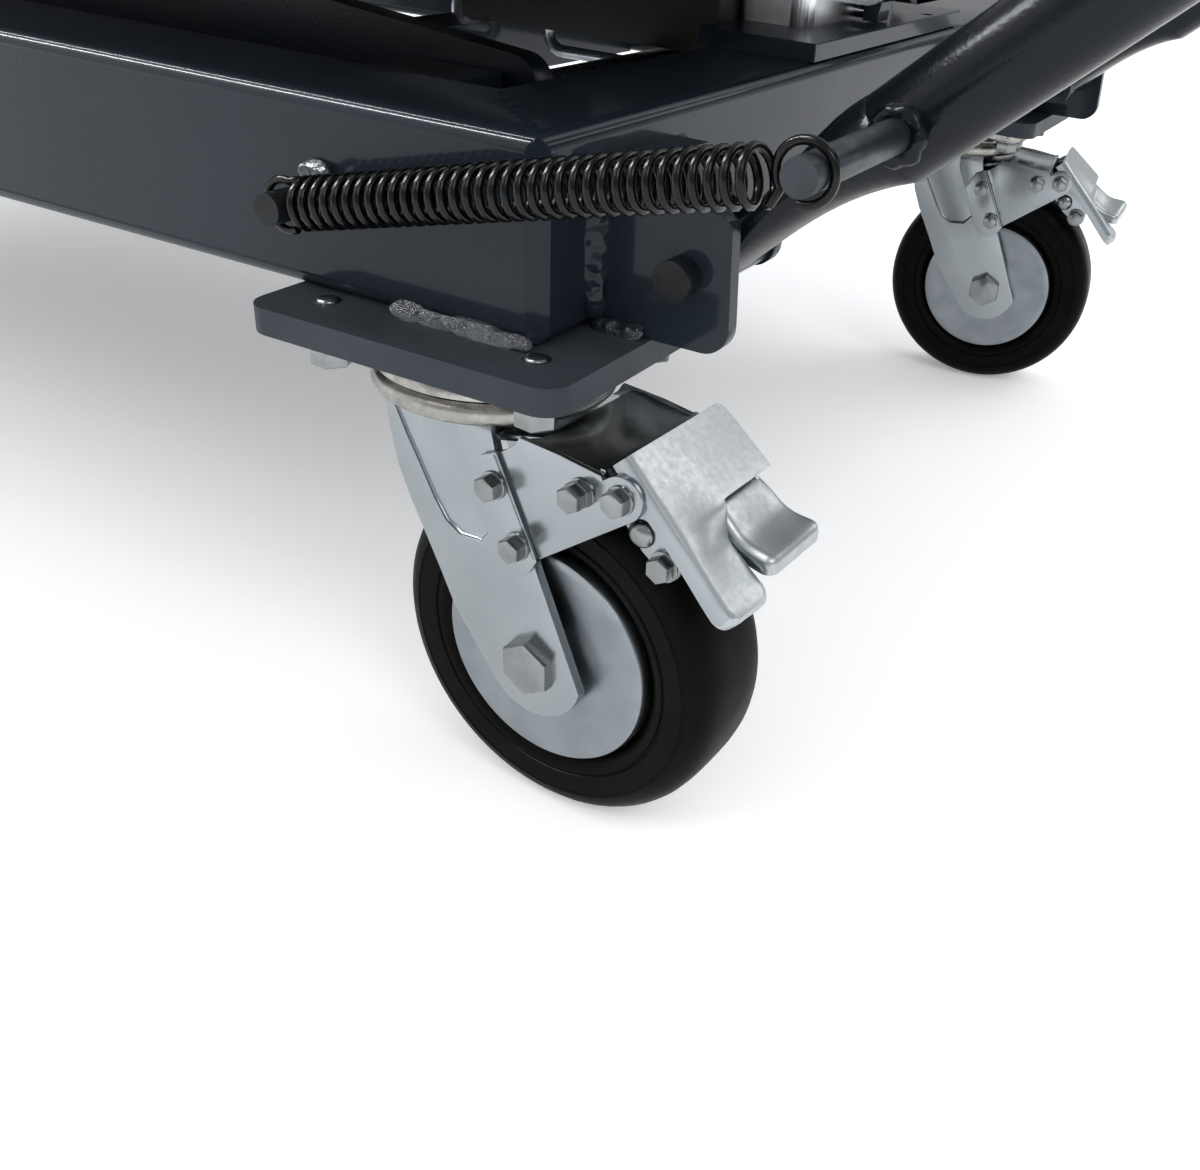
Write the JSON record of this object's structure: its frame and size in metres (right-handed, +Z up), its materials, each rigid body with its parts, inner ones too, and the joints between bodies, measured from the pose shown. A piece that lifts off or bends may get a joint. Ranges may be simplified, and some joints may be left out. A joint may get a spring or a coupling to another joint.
{
  "type": "mobile scissor lift table",
  "caption": "Wheeled scissor lift table with a foot pump, sprung tilting push handle, tube base frame, braked swivel casters and a flat skirted deck.",
  "frame": {"origin": "middle of the bounding box's bottom face, on the floor", "axes": "+X toward the push handle end, +Y to the right of a person at the handle facing the table, +Z up"},
  "size_m": [1.3179, 0.693, 1.0045],
  "materials": {
    "frame_paint": "semi-gloss anthracite powder coat",
    "pad_paint": "matte dark grey paint",
    "zinc": "bright bluish zinc plating",
    "tyre": "black rubber",
    "spring_black": "gloss black",
    "bare_pin": "bare blue-grey steel",
    "block_alloy": "machined",
    "tank_black": "satin black",
    "grip": "matte black rubber",
    "nylon": "off-white nylon",
    "rod_chrome": "polished chrome"
  },
  "bodies": {
    "base": {"left_side_beam": "frame_paint", "right_side_beam": "frame_paint", "handle_end_beam": "frame_paint", "far_end_beam": "frame_paint", "cross_member": "frame_paint", "caster_pads": "pad_paint", "caster_bolts": "zinc", "swivel_plates": "zinc", "fixed_forks": "zinc", "fixed_axles": "zinc", "arm_pivot_lugs": "frame_paint", "roller_tracks": "frame_paint", "pump_plate": "zinc", "pump_block": "block_alloy", "oil_tank": "tank_black", "pressure_pipe": "zinc", "handle_ears": "frame_paint", "handle_hinge_pins": "zinc", "spring_anchor_pins": "bare_pin", "left_handle_spring": "spring_black", "right_handle_spring": "spring_black"},
    "left_caster": {"left_fork": "zinc", "left_brake_housing": "zinc", "left_fork_bolts": "zinc"},
    "left_swivel_wheel": {"left_swivel_tyre": "tyre", "left_swivel_hub": "zinc"},
    "left_lock": {"left_lock_pedal": "zinc"},
    "left_release": {"left_release_lever": "zinc"},
    "left_fixed_wheel": {"left_fixed_tyre": "tyre", "left_fixed_hub": "zinc"},
    "right_caster": {"right_fork": "zinc", "right_brake_housing": "zinc", "right_fork_bolts": "zinc"},
    "right_swivel_wheel": {"right_swivel_tyre": "tyre", "right_swivel_hub": "zinc"},
    "right_lock": {"right_lock_pedal": "zinc"},
    "right_release": {"right_release_lever": "zinc"},
    "right_fixed_wheel": {"right_fixed_tyre": "tyre", "right_fixed_hub": "zinc"},
    "outer_arms": {"outer_arms": "frame_paint", "outer_shafts": "zinc", "centre_pins": "zinc"},
    "inner_arms": {"inner_arms": "frame_paint", "inner_shafts": "frame_paint"},
    "platform": {"deck_plate": "frame_paint", "deck_skirt": "frame_paint", "deck_frame": "frame_paint"},
    "barrel": {"cylinder_barrel": "tank_black"},
    "rod": {"cylinder_rod": "rod_chrome"},
    "handle": {"handle_tube": "frame_paint", "handle_feet": "frame_paint", "handle_spring_pins": "bare_pin", "handle_grip": "grip"},
    "pump_pedal": {"pump_pedal": "frame_paint"},
    "pump_plunger": {"pump_plunger": "zinc"},
    "lowering_pedal": {"lowering_pedal": "frame_paint"},
    "left_lower_roller": {"left_lower_roller": "nylon"},
    "left_upper_roller": {"left_upper_roller": "nylon"},
    "right_lower_roller": {"right_lower_roller": "nylon"},
    "right_upper_roller": {"right_upper_roller": "nylon"}
  },
  "joints": [
    {"name": "left_swivel", "type": "hinge", "parent": "base", "child": "left_caster", "pos_m": [0.33204, -0.287, 0.075], "axis": [0, 0, 1], "continuous": true},
    {"name": "left_swivel_wheel_spin", "type": "hinge", "parent": "left_caster", "child": "left_swivel_wheel", "pos_m": [0.37327, -0.28941, 0.075], "axis": [0.0584, 0.9983, 0], "continuous": true},
    {"name": "left_lock_press", "type": "hinge", "parent": "left_caster", "child": "left_lock", "pos_m": [0.4097, -0.29155, 0.1585], "axis": [0.0584, 0.9983, 0], "range_deg": [-10, 5]},
    {"name": "left_release_press", "type": "hinge", "parent": "left_lock", "child": "left_release", "pos_m": [0.42767, -0.2926, 0.138], "axis": [0.0584, 0.9983, 0], "range_deg": [0, 10], "stiffness_Nm_per_rad": 0.5, "springref_deg": -17.19},
    {"name": "left_fixed_wheel_spin", "type": "hinge", "parent": "base", "child": "left_fixed_wheel", "pos_m": [-0.58396, -0.287, 0.075], "axis": [0, 1, 0], "continuous": true},
    {"name": "right_swivel", "type": "hinge", "parent": "base", "child": "right_caster", "pos_m": [0.33204, 0.287, 0.075], "axis": [0, 0, 1], "continuous": true},
    {"name": "right_swivel_wheel_spin", "type": "hinge", "parent": "right_caster", "child": "right_swivel_wheel", "pos_m": [0.37288, 0.29311, 0.075], "axis": [-0.1478, 0.989, 0], "continuous": true},
    {"name": "right_lock_press", "type": "hinge", "parent": "right_caster", "child": "right_lock", "pos_m": [0.40898, 0.2985, 0.1585], "axis": [-0.1478, 0.989, 0], "range_deg": [-10, 5]},
    {"name": "right_release_press", "type": "hinge", "parent": "right_lock", "child": "right_release", "pos_m": [0.42678, 0.30116, 0.138], "axis": [-0.1478, 0.989, 0], "range_deg": [0, 10], "stiffness_Nm_per_rad": 0.5, "springref_deg": -17.19},
    {"name": "right_fixed_wheel_spin", "type": "hinge", "parent": "base", "child": "right_fixed_wheel", "pos_m": [-0.58396, 0.287, 0.075], "axis": [0, 1, 0], "continuous": true},
    {"name": "lift", "type": "hinge", "parent": "base", "child": "outer_arms", "pos_m": [0.27004, 0, 0.251], "axis": [0, 1, 0], "range_deg": [0, 39.5]},
    {"name": "scissor_centre", "type": "hinge", "parent": "outer_arms", "child": "inner_arms", "pos_m": [-0.12812, 0, 0.28934], "axis": [0, 1, 0], "range_deg": [-80, 0.5]},
    {"name": "deck_level", "type": "hinge", "parent": "inner_arms", "child": "platform", "pos_m": [0.27004, 0, 0.32767], "axis": [0, 1, 0], "range_deg": [-0.5, 40]},
    {"name": "cylinder_swing", "type": "hinge", "parent": "base", "child": "barrel", "pos_m": [0.00333, 0, 0.223], "axis": [0, 1, 0], "range_deg": [-0.5, 49.95]},
    {"name": "rod_stroke", "type": "slide", "parent": "barrel", "child": "rod", "axis": [-0.9073, 0, 0.4205], "range_m": [-0.001, 0.083]},
    {"name": "handle_tilt", "type": "hinge", "parent": "base", "child": "handle", "pos_m": [0.40903, 0, 0.2295], "axis": [0, 1, 0], "range_deg": [0, 40], "stiffness_Nm_per_rad": 14, "springref_deg": -51.57, "deforming": ["left_handle_spring", "right_handle_spring"]},
    {"name": "pump_stroke", "type": "hinge", "parent": "base", "child": "pump_pedal", "pos_m": [0.36003, 0, 0.3], "axis": [0, 1, 0], "range_deg": [0, 25], "stiffness_Nm_per_rad": 4, "springref_deg": -34.38},
    {"name": "plunger_stroke", "type": "slide", "parent": "base", "child": "pump_plunger", "axis": [-1, 0, 0], "range_m": [-0.0001, 0.0072]},
    {"name": "lowering_press", "type": "hinge", "parent": "base", "child": "lowering_pedal", "pos_m": [0.36003, 0.044, 0.3], "axis": [0, 1, 0], "range_deg": [0, 12], "stiffness_Nm_per_rad": 1, "springref_deg": -22.92},
    {"name": "left_lower_roll", "type": "hinge", "parent": "inner_arms", "child": "left_lower_roller", "pos_m": [-0.52626, -0.239, 0.251], "axis": [0, 1, 0], "continuous": true},
    {"name": "left_upper_roll", "type": "hinge", "parent": "outer_arms", "child": "left_upper_roller", "pos_m": [-0.52626, -0.239, 0.32767], "axis": [0, 1, 0], "continuous": true},
    {"name": "right_lower_roll", "type": "hinge", "parent": "inner_arms", "child": "right_lower_roller", "pos_m": [-0.52626, 0.239, 0.251], "axis": [0, 1, 0], "continuous": true},
    {"name": "right_upper_roll", "type": "hinge", "parent": "outer_arms", "child": "right_upper_roller", "pos_m": [-0.52626, 0.239, 0.32767], "axis": [0, 1, 0], "continuous": true}
  ],
  "couplings": [
    {"joint": "scissor_centre", "follows": "lift", "ratio": -2},
    {"joint": "deck_level", "follows": "lift", "ratio": 1},
    {"joint": "cylinder_swing", "follows": "lift", "ratio": 1.252},
    {"joint": "rod_stroke", "follows": "lift", "m_per_rad": 0.1179},
    {"joint": "plunger_stroke", "follows": "pump_stroke", "m_per_rad": 0.016}
  ]
}
